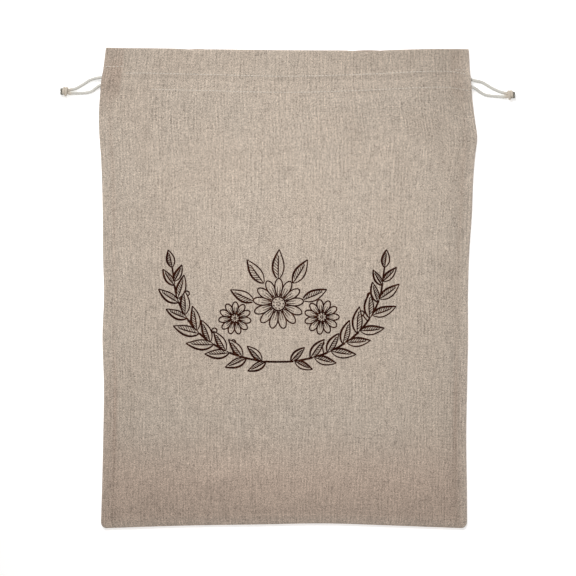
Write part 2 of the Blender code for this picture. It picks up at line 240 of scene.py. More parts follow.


# %% [markdown]
# ## Cotton for the drawcords
# The cord is three strands of off-white cotton laid round each other. The strands are real
# shape, carried along the cord below. The yarn in them is finer than a tenth of a millimetre,
# so it is a bump that follows the strands: each point of a cord carries its place on a
# straightened, untwisted cord as the mark `lay`. A second mark is 0 on clean cord and rises
# to 1 at the cut ends, which are grey. It makes the cord warmer near the knots, and in the
# grooves between a knot's wraps it darkens the cord as painted shade.


# %% Cotton material
def cotton_material():
    """Off-white cotton: fine yarn along the strands, warmer and then greyer as the second mark rises, which holds
    painted shade in the knots' grooves.
    """
    material, tree, shader = new_material("twisted cotton", 0.9, 0.12)
    lay = add_node(tree, "ShaderNodeAttribute", attribute_name="lay").outputs["Vector"]
    soil_and_shade = add_node(tree, "ShaderNodeAttribute", attribute_name="soil_and_shade").outputs["Fac"]
    yarn = noise(tree, lay, (3600.0, 3600.0, 900.0), 2.0)
    patches = noise(tree, lay, (240.0, 240.0, 160.0), 1.0)
    clean = blended(tree, patches, (0.70, 0.70, 0.66, 1.0), (0.76, 0.74, 0.685, 1.0))
    # The second mark turns the cord warmer and then grey: painted shade in the knots' grooves, and the grey cut ends
    warm = blended(tree, between(tree, soil_and_shade, 0.05, 0.45), clean, (0.68, 0.61, 0.515, 1.0))
    grey = blended(tree, between(tree, soil_and_shade, 0.55, 1.0), warm, (0.21, 0.20, 0.165, 1.0))
    tone = sums(tree, "ADD", swing(tree, yarn, 0.5), 1.0)
    tree.links.new(brightened(tree, grey, tone), shader.inputs["Base Color"])
    raised(tree, shader, yarn, 0.6, 0.12 * MM)
    return material


cotton = cotton_material()

# %% [markdown]
# ## Twisted cord
# A cord is a profile carried along a path. Three rounded lobes make the profile, and it turns
# once for each lay of the cord, so the lobes become strands. The frame that carries it comes
# from the path's direction and one fixed direction that the path never runs along.

# %% Twisted cord along a path
CORD = 2.4 * MM
CREST = 1.36 * MM
LAY = 7.5 * MM
STRANDS = 3
GROOVE = 0.17
RING_POINTS = 24
END_ROUNDING = (0.0, 0.55, 0.85)


def unit(vectors):
    """Vectors of length one with the same directions."""
    return vectors / np.linalg.norm(vectors, axis=-1, keepdims=True)


def length_along(path):
    """How far along the path each of its points lies."""
    return np.concatenate([[0.0], np.cumsum(np.linalg.norm(np.diff(path, axis=0), axis=1))])


def even_path(route, step):
    """A smooth curve through the route's points, cut into nearly even steps."""
    along = length_along(route)
    at = np.linspace(0, along[-1], int(along[-1] / step) + 1)
    return np.stack([smooth_line(along, route[:, axis], at) for axis in range(3)], axis=1)


def twisted(path, aside, radius=CORD / 2, points=RING_POINTS):
    """(points, lay) of a cord of three strands, as rings along the path.

    Radius at an angle: the cord's radius, less a groove share times one minus the size of
    the cosine of one and a half times (angle - turn), where the turn grows by a full circle
    in each lay length. Rounded ends close on the path's own end points.
    """
    rounding = np.array(END_ROUNDING)
    path = np.concatenate([np.repeat(path[:1], len(rounding), 0), path, np.repeat(path[-1:], len(rounding), 0)])
    full = np.concatenate([rounding, np.ones(len(path) - 2 * len(rounding)), rounding[::-1]])
    along = length_along(path)
    ahead = np.gradient(path[len(rounding):-len(rounding)], axis=0)
    ahead = unit(np.concatenate([ahead[:1]] * len(rounding) + [ahead] + [ahead[-1:]] * len(rounding)))
    side = unit(np.cross(ahead, aside))
    lift = np.cross(side, ahead)
    angle = np.arange(points) * 2 * np.pi / points
    turned = angle - along[:, None] * 2 * np.pi / LAY
    rim = radius * full[:, None] * (1 - GROOVE * (1 - np.abs(np.cos(turned * STRANDS / 2))))
    around = np.cos(angle)[:, None] * side[:, None] + np.sin(angle)[:, None] * lift[:, None]
    lay = np.stack([np.cos(turned) * radius, np.sin(turned) * radius, np.tile(along[:, None], points)], -1)
    return path[:, None] + rim[..., None] * around, lay


# %% [markdown]
# ## The four tails
# Each drawcord leaves its side gap twice, once from the front casing and once from the back
# one. The two tails come down to the surface, lie on it in soft curves and meet at the knot.
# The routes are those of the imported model. Each goes a little way on into its knot, and
# starts a little way inside the bag, where the run in the casing takes over.

# %% Routes of the tails
# In millimetres, from the side gap to the knot
LEFT_FRONT_TAIL = (
    (-152.9, 175.0, 5.7),
    (-156.0, 174.9, 4.6),
    (-160.4, 174.3, 3.0),
    (-165.0, 172.8, 1.8),
    (-169.2, 170.2, 1.35),
    (-173.4, 167.6, 1.35),
    (-177.6, 165.6, 1.8),
    (-181.8, 164.7, 2.8),
)
LEFT_BACK_TAIL = (
    (-153.8, 168.6, 2.6),
    (-156.5, 168.3, 2.6),
    (-159.6, 166.4, 2.1),
    (-163.0, 163.9, 1.45),
    (-166.6, 162.7, 1.3),
    (-170.6, 162.2, 1.3),
    (-174.8, 162.1, 1.4),
    (-178.6, 162.1, 1.9),
    (-181.8, 161.9, 2.7),
)
RIGHT_FRONT_TAIL = (
    (151.0, 167.4, 5.7),
    (153.6, 166.8, 4.8),
    (156.9, 165.1, 3.5),
    (160.4, 162.6, 2.2),
    (164.2, 160.7, 1.45),
    (168.4, 159.9, 1.3),
    (172.8, 159.5, 1.35),
    (177.2, 159.1, 1.8),
    (181.2, 159.0, 2.7),
)
RIGHT_BACK_TAIL = (
    (150.2, 173.7, 2.6),
    (153.1, 173.1, 2.6),
    (156.8, 172.2, 2.1),
    (161.0, 171.3, 1.45),
    (165.2, 169.0, 1.3),
    (169.5, 166.4, 1.3),
    (173.7, 164.4, 1.4),
    (177.8, 162.8, 1.9),
    (181.2, 161.8, 2.7),
)
KNOT_AT = {"left": (-185.9, 163.3, 3.35), "right": (185.4, 160.4, 3.35)}
TAIL_INSIDE = 0.7
TAIL_INTO_KNOT = 0.55
CORD_STEP = 0.5 * MM
WARM_BEFORE_KNOT = 9.0 * MM
UPWARDS = np.array([0.0, 0.0, 1.0])


def add_tail(side, place, route):
    """A tail as a piece, and the path that it follows from inside the bag into its knot."""
    inside = tuple(a + TAIL_INSIDE * (a - b) for a, b in zip(route[0][:2], route[1])) + route[0][2:]
    into = tuple(a + TAIL_INTO_KNOT * (b - a) for a, b in zip(route[-1], KNOT_AT[side]))
    path = even_path(np.array((inside, *route, into)) * MM, CORD_STEP)
    points, lay = twisted(path, UPWARDS, CREST)
    left_to_go = lay[-1, 0, 2] - lay[..., 2]
    soil_and_shade = 0.4 * smooth_step(1 - left_to_go / WARM_BEFORE_KNOT)
    faces = grid_faces(*points.shape[:2], wrap=True)
    marks = {"lay": lay, "soil_and_shade": soil_and_shade[..., None]}
    tail = add_piece(f"{side}_{place}_tail", points, faces, cotton, closed=True, marks=marks)
    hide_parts(f"{side}_tail_{place}")
    return tail, path


# %% [markdown]
# ## The knots
# The two ends of a drawcord are tied together in one overhand knot. From above it is a bead
# of nearly two wraps, with both cut ends looking out of its far side. The wraps are one cord
# on a helix, drawn in at its two ends; the cut ends are two short stubs of cord that narrow
# and turn dark grey towards their ends.

# %% Knot of the two cord ends
KNOT_WIDE = 4.1 * MM
KNOT_HIGH = 3.7 * MM
WRAPS = 1.9
WRAP_STEPS = 90
WRAP_STARTS = 0.6
WRAP_LONG = 1.95 * MM
WRAP_SHIFT = 0.8 * MM
WRAP_CORD = 1.25 * MM
STUB_START = 1.9 * MM
STUB_LONG = 5.2 * MM
STUB_CORD = 1.6 * MM
STUB_ASIDE = 1.45 * MM
STUB_RISE = 0.7 * MM
GROOVE_SHADE = 0.38
STUB_STEPS = 12
KNOT_POINTS = 20


def add_knot(side, tail_side):
    """A knot as one piece: wraps on a helix, whose width closes in towards both ends, and stubs.

    At a share t of the way through the wraps the middle of the cord is WRAP_LONG times
    (2 t - 1), less WRAP_SHIFT, along the drawcord, and its angle round it is WRAPS turns times t.
    The grooves between the wraps are darkened as painted shade: the nearer a point is to the middle, the more.
    """
    centre = np.array(KNOT_AT[side]) * MM
    t = np.linspace(0, 1, WRAP_STEPS)
    angle = 2 * np.pi * (WRAP_STARTS + WRAPS * t)
    drawn_in = 1 - 0.5 * (bump(t, 0.09) + bump(1 - t, 0.09))
    across = (KNOT_WIDE - WRAP_CORD) * drawn_in
    over = (KNOT_HIGH - WRAP_CORD) * drawn_in
    way = tail_side * (WRAP_LONG * (2 * t - 1) - WRAP_SHIFT)
    wraps = np.stack([way, across * np.cos(angle), over * np.sin(angle)], axis=1)
    along = np.array([1.0, 0.0, 0.0])
    shapes = [twisted(centre + wraps, along, WRAP_CORD, KNOT_POINTS)]
    out = (shapes[0][0] - centre)[..., 1:] / (KNOT_WIDE, KNOT_HIGH)
    deep = smooth_step((0.93 - np.linalg.norm(out, axis=-1)) / 0.22)
    # Painted shade: the deeper a point lies in the grooves between the wraps, the darker it is
    soil_and_shade_rows = [0.42 + GROOVE_SHADE * deep]
    for aside in (-1, 1):
        s = np.linspace(0, 1, STUB_STEPS)
        way = tail_side * (STUB_LONG * s - STUB_START)
        stub = np.stack([way, aside * STUB_ASIDE * (0.7 + 0.3 * s), STUB_RISE * s], axis=1)
        rings = np.linspace(-0.25, 1.25, STUB_STEPS + 2 * len(END_ROUNDING))
        narrowed = STUB_CORD * (1 - 0.3 * smooth_step((rings - 0.7) / 0.4))
        shapes.append(twisted(centre + stub, UPWARDS, narrowed[:, None], KNOT_POINTS))
        rows = len(shapes[-1][0])
        share = np.clip((np.arange(rows) - len(END_ROUNDING)) / STUB_STEPS, 0, 1)
        soil_and_shade_rows.append(np.tile(0.42 + 0.58 * smooth_step((share - 0.4) / 0.25)[:, None], KNOT_POINTS))
    sizes = np.cumsum([0] + [shape[0].shape[0] * KNOT_POINTS for shape in shapes])
    faces = [grid_faces(len(shape[0]), KNOT_POINTS, wrap=True) + first for shape, first in zip(shapes, sizes)]
    points = np.concatenate([shape[0].reshape(-1, 3) for shape in shapes])
    lay = np.concatenate([shape[1].reshape(-1, 3) for shape in shapes])
    points[:, 2] = np.maximum(points[:, 2], 0.0)
    marks = {"lay": lay, "soil_and_shade": np.concatenate([soil_and_shade.ravel() for soil_and_shade in soil_and_shade_rows])[:, None]}
    knot = add_piece(f"{side}_knot_wraps", points, np.concatenate(faces), cotton, closed=True, marks=marks)
    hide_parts(f"{side}_knot")
    return knot


# %% The tails and knots of both sides
for side, tail_side, front_route, back_route in (
    ("left", -1, LEFT_FRONT_TAIL, LEFT_BACK_TAIL),
    ("right", 1, RIGHT_FRONT_TAIL, RIGHT_BACK_TAIL),
):
    knot = add_knot(side, tail_side)
    for place, route in (("front", front_route), ("back", back_route)):
        tail, path = add_tail(side, place, route)
        long = float(length_along(path)[-1])
        print(tail.name, "is", round(long / MM, 1), "mm long")

# %% [markdown]
# ## The outline of the bag
# The bag lies a little uneven: its sides wander by a few millimetres, the bottom seam bows
# up in the middle, and the mouth dips. These are the same measured lines as in the solids.

# %% Measured lines
HALF_LENGTH = 200.0 * MM
CORNER_ROUND = 5.5 * MM
EDGE_FALL = 60.0 * MM

# In millimetres: height, left side, right side
SIDES = (
    (-200.0, -155.8, 149.0),
    (-165.0, -154.7, 148.8),
    (-125.0, -153.8, 148.3),
    (-80.0, -153.2, 149.0),
    (-40.0, -154.4, 149.8),
    (-8.0, -153.2, 149.7),
    (30.0, -154.0, 150.8),
    (60.0, -154.2, 152.9),
    (92.0, -154.9, 154.2),
    (110.0, -155.7, 155.7),
    (125.5, -156.9, 157.4),
    (140.0, -157.4, 155.5),
    (160.0, -156.5, 153.1),
    (180.0, -154.0, 151.4),
    (200.0, -151.5, 150.4),
)
# In millimetres: place across the bag, rise above the lowest corner
BOTTOM_RISE = (
    (-156.0, 0.0),
    (-85.0, 2.3),
    (-20.0, 3.3),
    (30.0, 4.1),
    (80.0, 2.6),
    (125.0, 0.9),
    (150.0, 0.0),
)
# In millimetres: place across the bag, drop below the highest corner
TOP_DROP = (
    (-152.0, 0.0),
    (-130.0, 0.8),
    (-85.0, 1.7),
    (-30.0, 2.5),
    (90.0, 2.5),
    (125.0, 1.6),
    (150.0, 1.2),
)
# Where the front's mouth sags below the back's, in millimetres: middle, reach, drop
FRONT_SAGS = ((-78.0, 9.0, 0.6), (65.0, 12.0, 1.2))
# Where the back's mouth stands up behind it, as a drop below zero
BACK_RISES = ((-73.5, 9.0, -0.9), (65.5, 12.0, -0.8))
# Middle line of the casing, in millimetres: place across the bag, height
CASING_LINE = (
    (-157.0, 171.8),
    (-144.0, 171.8),
    (-75.0, 170.4),
    (0.0, 168.8),
    (70.0, 170.8),
    (108.0, 172.6),
    (134.0, 173.0),
    (157.0, 169.6),
)


def casing_line(x):
    """Height of the casing's middle line at each place across the bag."""
    return read(CASING_LINE, 1, x)


def side_edges(y):
    """(middle, half width) of the bag at a height, with the bottom corners rounded."""
    left, right = read(SIDES, 1, y), read(SIDES, 2, y)
    above = np.clip(y + HALF_LENGTH, 0.0, CORNER_ROUND)
    cut = CORNER_ROUND - np.sqrt(CORNER_ROUND**2 - (CORNER_ROUND - above) ** 2)
    return (left + right) / 2, (right - left) / 2 - cut


def side_distance(x, y):
    """Distance from the nearer side seam."""
    middle, half = side_edges(y)
    return half - np.abs(x - middle)


def above_bottom(x, y):
    """Distance above the bottom seam."""
    return y + HALF_LENGTH - read(BOTTOM_RISE, 1, x)


def top_line(x, sags):
    """Height of the fold at the mouth."""
    top = HALF_LENGTH - read(TOP_DROP, 1, x)
    for middle, reach, drop in sags:
        top = top - drop * MM * bump(x - middle * MM, reach * MM)
    return top


# %% [markdown]
# ## How high the cloth lies
# The empty bag is a flat pillow: thin at its seams and fuller inside. The surface of the
# front is one height over each place, a sum of simple parts: the pillow, the deep hem, the
# low valley that the two rows of stitching pull into it, soft folds from being folded and
# carried, small puckers along the stitches and a faint unevenness all over.

# %% Sizes of the cloth and the hem
CLOTH = 0.6 * MM
SEAM_HIGH = 3.3 * MM
SEAM_MIDDLE = 1.55 * MM
PILLOW = 11.8 * MM
PILLOW_RUN = 40.0 * MM
PILLOW_POWER = 2.2
HEM_HIGH = 13.2 * MM
HEM_SIDE_HIGH = 5.2 * MM
HEM_INSET = 9.5 * MM
HEM_RUN = 38.0 * MM
HEM_BLEND = 38.0 * MM
HEM_END = -8.0 * MM
UPPER_ROW = 6.6 * MM
LOWER_ROW = -6.7 * MM
GAP_HUMP = 4.3 * MM
GAP_HUMP_REACH = 14.0 * MM
GAP_HUMP_HALF = 10.0 * MM
CURL_REACH = 1.4 * MM
FOLDS_HELD = 0.5

# How far the cloth sinks across the casing, in millimetres: above its middle line, height
CASING_DIP = (
    (-18.0, 0.0),
    (-13.5, -0.22),
    (-9.4, -0.6),
    (-7.4, -0.5),
    (-4.2, -0.52),
    (-2.2, -0.42),
    (1.7, -0.74),
    (2.6, -0.72),
    (5.4, -0.06),
    (6.6, 0.02),
    (12.0, 0.03),
)
# Soft folds of the front, in millimetres and degrees, and at the end three narrow creases:
# middle x, middle y, half length, half width, turn from the X axis, height
FRONT_FOLDS = (
    (67.0, 134.0, 38.0, 13.0, 88.0, -2.4),
    (15.0, 127.0, 42.0, 14.0, 5.0, 2.0),
    (-26.0, 84.0, 28.0, 13.0, 86.0, 2.4),
    (-112.0, 76.0, 32.0, 16.0, -38.0, 2.4),
    (-150.0, 84.0, 36.0, 13.0, 86.0, 2.4),
    (130.0, 116.0, 30.0, 13.0, 85.0, -2.4),
    (132.0, 24.0, 20.0, 14.0, 0.0, 2.0),
    (88.0, 176.0, 26.0, 10.0, 0.0, -2.4),
    (-134.0, 178.0, 28.0, 10.0, 88.0, -2.4),
    (-52.0, 168.0, 22.0, 9.0, 4.0, 2.0),
    (-118.0, 20.0, 20.0, 12.0, 5.0, 2.0),
    (-25.0, -92.0, 30.0, 16.0, 0.0, 2.2),
    (72.0, -106.0, 32.0, 14.0, -35.0, 2.4),
    (-110.0, -128.0, 36.0, 12.0, 90.0, 2.4),
    (-55.0, -158.0, 34.0, 12.0, 8.0, 2.0),
    (-134.0, -165.0, 36.0, 12.0, 88.0, -2.4),
    (-10.0, -189.0, 44.0, 12.0, 2.0, 2.2),
    (135.0, -125.0, 68.0, 13.0, 89.0, 2.4),
    (-57.0, 157.6, 4.5, 1.3, -4.0, -0.4),
    (-138.0, 24.0, 15.0, 2.2, -8.0, -0.4),
    (134.0, 23.5, 17.0, 2.2, 12.0, -0.4),
)


# %% Parts of the front's height
def rise(t):
    """How full the bag is at a share of the way in from a seam: steep at first, then level."""
    return 1 - (1 - np.clip(t, 0.0, 1.0)) ** PILLOW_POWER


def folds(table, x, y):
    """Sum of soft folds: each a bump along its length times a bump across its width."""
    total = np.zeros_like(x)
    for mid_x, mid_y, half_long, half_wide, turn, height in table:
        away_x, away_y = x - mid_x * MM, y - mid_y * MM
        c, s = np.cos(np.radians(turn)), np.sin(np.radians(turn))
        along = (away_x * c + away_y * s) / (half_long * MM)
        aside = (away_y * c - away_x * s) / (half_wide * MM)
        total += height * MM * np.exp(-(along**2) - aside**2)
    return total


def unevenness(x, y, seed, waves, shortest, longest, height):
    """Waves in many directions, added up and divided by the root of their number."""
    draw = np.random.default_rng(seed)
    total = np.zeros_like(x)
    for _ in range(waves):
        turn, start = draw.uniform(0, 2 * np.pi, 2)
        long = shortest * (longest / shortest) ** draw.uniform()
        total += np.sin(2 * np.pi * (x * np.cos(turn) + y * np.sin(turn)) / long + start)
    return height * total / np.sqrt(waves)


def in_casing(x, y):
    """1 between the two rows of stitching, 0 a little beyond them."""
    away = np.abs(y - casing_line(x) - (UPPER_ROW + LOWER_ROW) / 2)
    return smooth_step((9.5 * MM - away) / (4.5 * MM))


def puckers(x, y):
    """Small waves along both rows of stitching, which fade 5 mm to each side of them."""
    away = y - casing_line(x)
    near = bump(away - UPPER_ROW, 4.5 * MM) + bump(away - LOWER_ROW, 4.5 * MM)
    waves = np.sin(2 * np.pi * x / (8.7 * MM)) + 0.8 * np.sin(2 * np.pi * x / (13.3 * MM) + 1.0)
    uneven = 0.6 + 0.4 * np.sin(2 * np.pi * x / (71.0 * MM) + 2.0)
    return 0.07 * MM * near * waves * uneven


def side_allowance(y, from_side):
    """1 over the seam allowance along a side: 10 mm wide, and 17 mm at the hem."""
    wide = (10.0 + 7.0 * smooth_step((y - 152.0 * MM) / (10.0 * MM))) * MM
    return smooth_step((wide - from_side) / (1.0 * MM))


def seam_allowance(x, y, from_side):
    """1 over the seam allowances inside, along both sides and the bottom."""
    below = smooth_step((8.5 * MM - above_bottom(x, y)) / (1.0 * MM))
    return np.maximum(side_allowance(y, from_side), below)


def back_hem_high(x, y, from_side):
    """Height of the back hem's upper side: two layers at the sides, and over the cords."""
    flat = 1.4 * MM + 1.0 * MM * smooth_step(from_side / HEM_INSET)
    return flat + (3.85 * MM - flat) * in_casing(x, y)


def hem_thickness(x, y, from_side):
    """Front hem through both layers: thin at the sides, pinched by stitches, full of cord between."""
    flat = 1.7 * MM + 0.9 * MM * smooth_step(from_side / HEM_INSET)
    away = y - casing_line(x)
    pinch = bump(away - UPPER_ROW, 1.5 * MM) + bump(away - LOWER_ROW, 1.5 * MM)
    return flat + (3.8 * MM - flat) * in_casing(x, y) - 0.8 * MM * pinch * smooth_step(from_side / HEM_INSET)


def front_high(x, y, from_side):
    """Height of the front's outer side, from its parts as named above."""
    full = rise(from_side / PILLOW_RUN) * rise(above_bottom(x, y) / PILLOW_RUN)
    body = SEAM_HIGH + (PILLOW - SEAM_HIGH) * full
    hem_side = SEAM_HIGH + (HEM_SIDE_HIGH - SEAM_HIGH) * smooth_step(from_side / HEM_INSET)
    hem = hem_side + (HEM_HIGH - HEM_SIDE_HIGH) * rise((from_side - HEM_INSET) / HEM_RUN)
    away = y - casing_line(x)
    high = body + (hem - body) * smooth_step((away - HEM_END + HEM_BLEND) / HEM_BLEND)
    high = high + folds(FRONT_FOLDS, x, y) * full * (1 - FOLDS_HELD * in_casing(x, y))
    beside_middle = y - casing_line(x) - (UPPER_ROW + LOWER_ROW) / 2
    high = high + GAP_HUMP * bump(from_side, GAP_HUMP_REACH) * bump(beside_middle, GAP_HUMP_HALF)
    soft = smooth_step(from_side / (12.0 * MM))
    high = high + read(CASING_DIP, 1, away) * soft + puckers(x, y) * soft
    high = high + unevenness(x, y, SEED, 24, 22.0 * MM, 60.0 * MM, 0.16 * MM) * full
    return high + 0.3 * MM * seam_allowance(x, y, from_side)


def curl(distance):
    """A quarter turn at a raw edge: 1 at the edge, 0 from the curl's reach inwards."""
    t = np.clip(distance / CURL_REACH, 0.0, 1.0)
    return 1 - np.sqrt(1 - (1 - t) ** 2)


def front_side(x, y, from_side):
    """The front's outer side with its sewn edges turned down to the middle of the seam."""
    high = front_high(x, y, from_side)
    edge = curl(np.minimum(from_side, above_bottom(x, y))) * (1 - in_casing(x, y))
    return high - (high - SEAM_MIDDLE - 0.03 * MM) * edge


def back_side(x, y, from_side):
    """The back's outer side on the surface: nearly flat, drawn up at the stitches and the seam."""
    away = y - casing_line(x)
    stitched = 0.35 * MM * (bump(away - UPPER_ROW, 1.2 * MM) + bump(away - LOWER_ROW, 1.2 * MM))
    uneven = np.maximum(unevenness(x, y, SEED + 1, 16, 30.0 * MM, 80.0 * MM, 0.12 * MM), 0.0)
    low = stitched + uneven * smooth_step(from_side / (12.0 * MM))
    edge = curl(np.minimum(from_side, above_bottom(x, y))) * (1 - in_casing(x, y))
    return low + (SEAM_MIDDLE - 0.03 * MM - low) * edge


# %% [markdown]
# ## Linen
# Natural undyed linen is a plain weave of uneven yarn. At each crossing either the warp yarn
# or the weft yarn lies on top, by turns, and shows its own brightness there. Every yarn has a
# noise of its own along its length, which makes fine upright streaks of the warp and shorter
# ones of the weft. Between the yarns, where they dive under each other, the colour is darker:
# painted shade. Thick places, the slubs, are painted paler as a highlight where they catch the
# light, and bits of stalk make dark flecks.
#
# All of it follows the cloth, as the panels carry a UV map in metres of flat cloth. Three
# marks on the cloth help. The first darkens it where a seam allowance shows through, and it
# also carries painted shade along the crease at the allowance's inner edge and at the back's
# mouth. The second makes it paler near the seams, most along the right one. The third is
# painted shade, darker and browner towards the bottom of the bag.

# %% Linen material
YARN_PITCH = 0.72 * MM


def yarn_tone(tree, number, along, counts, octaves, size):
    """How pale a yarn is along its length, about 0: its number picks where its noise starts."""
    own = add_node(tree, "ShaderNodeTexWhiteNoise", {"W": number}, noise_dimensions="1D").outputs["Value"]
    start = sums(tree, "MULTIPLY", own, 173.0)
    reach = sums(tree, "ADD", sums(tree, "MULTIPLY", along, counts), start)
    spot = add_node(tree, "ShaderNodeCombineXYZ", {0: sums(tree, "MULTIPLY", own, 31.0), 1: reach}).outputs[0]
    uneven = {"Vector": spot, "Scale": 1.0, "Detail": octaves, "Roughness": 0.85}
    return swing(tree, add_node(tree, "ShaderNodeTexNoise", uneven).outputs["Fac"], size)


def woven(tree, place):
    """(tone, height) of a plain weave: the tone is about 0 and darker between the yarns, as painted shade; the height
    is 1 on top of the yarns.

    A yarn's height is the sine of pi times the share of the way across it, less where it
    dives under at the two ends of a crossing.
    """
    along = add_node(tree, "ShaderNodeSeparateXYZ", {0: place}).outputs
    u, v = (sums(tree, "DIVIDE", along[axis], YARN_PITCH) for axis in (0, 1))
    warp_number, weft_number = (sums(tree, "FLOOR", way, 0.0) for way in (u, v))
    over = sums(tree, "FLOORED_MODULO", sums(tree, "ADD", warp_number, weft_number), 2.0)
    tones = []
    for number, way, streak in ((warp_number, along[1], WARP_STREAK), (weft_number, along[0], WEFT_STREAK)):
        long = yarn_tone(tree, number, way, STREAK_COUNTS, 1.0, streak)
        tones.append(sums(tree, "ADD", long, yarn_tone(tree, number, way, GRAIN_COUNTS, 1.0, GRAIN_SWING)))
    rounds = []
    for way in (u, v):
        turn = sums(tree, "MULTIPLY", sums(tree, "FRACT", way, 0.0), np.pi)
        rounds.append(sums(tree, "SINE", turn, 0.0))
    dives = [sums(tree, "ADD", sums(tree, "MULTIPLY", value, 0.45), 0.55) for value in rounds]
    warp_high = sums(tree, "MULTIPLY", rounds[0], dives[1])
    weft_high = sums(tree, "MULTIPLY", rounds[1], dives[0])
    height = add_node(tree, "ShaderNodeMix", {0: over, 2: weft_high, 3: warp_high}).outputs[0]
    tone = add_node(tree, "ShaderNodeMix", {0: over, 2: tones[1], 3: tones[0]}).outputs[0]
    # Where the height is low, between the yarns, the tone is darker: painted shade
    return sums(tree, "ADD", tone, swing(tree, height, GAP_SHADE)), height


def reed_lines(tree, place):
    """Fine upright lines: the sine of a turn for each group of warp yarns, which drifts and fades."""
    across = add_node(tree, "ShaderNodeSeparateXYZ", {0: place}).outputs[0]
    drift = swing(tree, noise(tree, place, REED_DRIFTS), REED_DRIFT)
    groups = sums(tree, "ADD", sums(tree, "DIVIDE", across, REED_GROUP), drift)
    line = sums(tree, "SINE", sums(tree, "MULTIPLY", groups, 2 * np.pi), 0.0)
    return sums(tree, "MULTIPLY", line, between(tree, noise(tree, place, REED_FADES), 0.25, 0.7))


STREAK_COUNTS = 60.0
REED_GROUP = 2.62 * MM
REED_DRIFTS = (42.0, 13.0, 0.0)
REED_DRIFT = 2.6
REED_FADES = (60.0, 22.0, 0.0)
REED_MARK = 0.085
WARP_STREAK = 1.5
WEFT_STREAK = 0.7
GRAIN_COUNTS = 900.0
GRAIN_SWING = 2.3
# Painted shade between the yarns, where they dive under each other
GAP_SHADE = 0.7
LINEN_PALE = (0.50, 0.428, 0.358, 1.0)
LINEN_WARM = (0.490, 0.414, 0.343, 1.0)
# Painted shade towards the bottom: a darker, browner linen
LINEN_BOTTOM_SHADE = (0.487, 0.385, 0.314, 1.0)
# Doubled cloth where a seam allowance shows through, also used for painted shade in creases and at the back's mouth
LINEN_DOUBLED_AND_SHADED = (0.42, 0.33, 0.268, 1.0)
LINEN_PALER_SEAMS = (0.60, 0.52, 0.44, 1.0)


def linen_material():
    """Plain-woven linen: yarns, slubs, flecks, soft patches and the tones that its marks give."""
    material, tree, shader = new_material("natural linen", 0.95, 0.1)
    place = add_node(tree, "ShaderNodeUVMap", uv_map="cloth").outputs[0]
    tone, height = woven(tree, place)
    patches = noise(tree, place, (26.0, 19.0, 0.0), 2.0)
    slub = between(tree, noise(tree, place, (900.0, 260.0, 0.0), 1.0), 0.66, 0.8)
    cross_slub = between(tree, noise(tree, place, (300.0, 950.0, 0.0), 1.0), 0.68, 0.8)
    fleck = between(tree, noise(tree, place, (620.0, 510.0, 0.0), 1.0), 0.72, 0.8)
    tone = sums(tree, "ADD", tone, 1.0)
    tone = sums(tree, "ADD", tone, sums(tree, "MULTIPLY", reed_lines(tree, place), REED_MARK))
    tone = sums(tree, "ADD", tone, swing(tree, patches, 0.04))
    # The slubs are painted paler as a highlight; the stalk flecks are darker
    for value, size in ((slub, 0.22), (cross_slub, 0.2), (fleck, -0.34)):
        tone = sums(tree, "ADD", tone, sums(tree, "MULTIPLY", value, size))
    colour = blended(tree, between(tree, patches, 0.3, 0.7), LINEN_PALE, LINEN_WARM)
    for mark, marked in (("bottom_shade", LINEN_BOTTOM_SHADE), ("doubled_and_shaded", LINEN_DOUBLED_AND_SHADED), ("paler_seams", LINEN_PALER_SEAMS)):
        share = add_node(tree, "ShaderNodeAttribute", attribute_name=mark).outputs["Fac"]
        colour = blended(tree, share, colour, marked)
    tree.links.new(brightened(tree, colour, tone), shader.inputs["Base Color"])
    height = sums(tree, "ADD", height, sums(tree, "MULTIPLY", tone, 0.6))
    raised(tree, shader, height, 0.5, 0.12 * MM)
    return material


linen = linen_material()

# %% [markdown]
# ## Stations of a panel
# A panel is one sheet from the bottom seam up to the mouth, over the fold and down again on
# the inside to the end of the hem. The stations stand close together where the cloth turns
# sharply: at the seams, along the stitching and round the fold.

# %% Stations
EDGE_STATIONS = np.array([0, 0.05, 0.2, 0.5, 0.9, 1.4, 2.2, 3.3, 4.6, 6.0, 7.2, 8.0, 8.8, 9.8, 11.2, 13.0]) * MM
COLUMN_STEP = 2.15 * MM
ROW_STEP = 2.25 * MM
CASING_STEP = 1.1 * MM
FOLD_STEPS = 9
SETTLING_ROUNDS = 4
FLAT_HALF = 153.5 * MM


# How far the seam allowance shows, by height in millimetres: the strip at the left, the strip
# at the right, and the painted shade of the crease along its inner edge
ALLOWANCE_SHOWS = (
    (-200.0, 0.5, 0.55, 0.95),
    (-140.0, 0.5, 0.55, 1.0),
    (-90.0, 0.45, 0.5, 0.9),
    (-60.0, 0.05, 0.1, 0.4),
    (60.0, 0.0, 0.1, 0.35),
    (140.0, 0.0, 0.1, 0.2),
    (151.0, 0.2, 0.1, 0.1),
    (164.0, 0.55, 0.3, 0.0),
    (178.0, 0.75, 0.3, 0.0),
    (186.0, 0.7, 0.3, 0.0),
    (192.0, 0.45, 0.3, 0.0),
    (200.0, 0.45, 0.3, 0.0),
)
CREASE_IN = 9.6 * MM
CREASE_REACH = 1.9 * MM
# How far in and how strongly the cloth is paler near the seams: on the left, the right and the bottom
PALER_REACH = 6.0 * MM
PALER_LEFT = 0.2
PALER_RIGHT = 0.7
PALER_BELOW = 0.4
# Painted shade towards the bottom: where it starts and where it is full
BOTTOM_SHADE_FROM = -105.0 * MM
BOTTOM_SHADE_FULL = -170.0 * MM
SHADED_MOUTH = 2.5 * MM


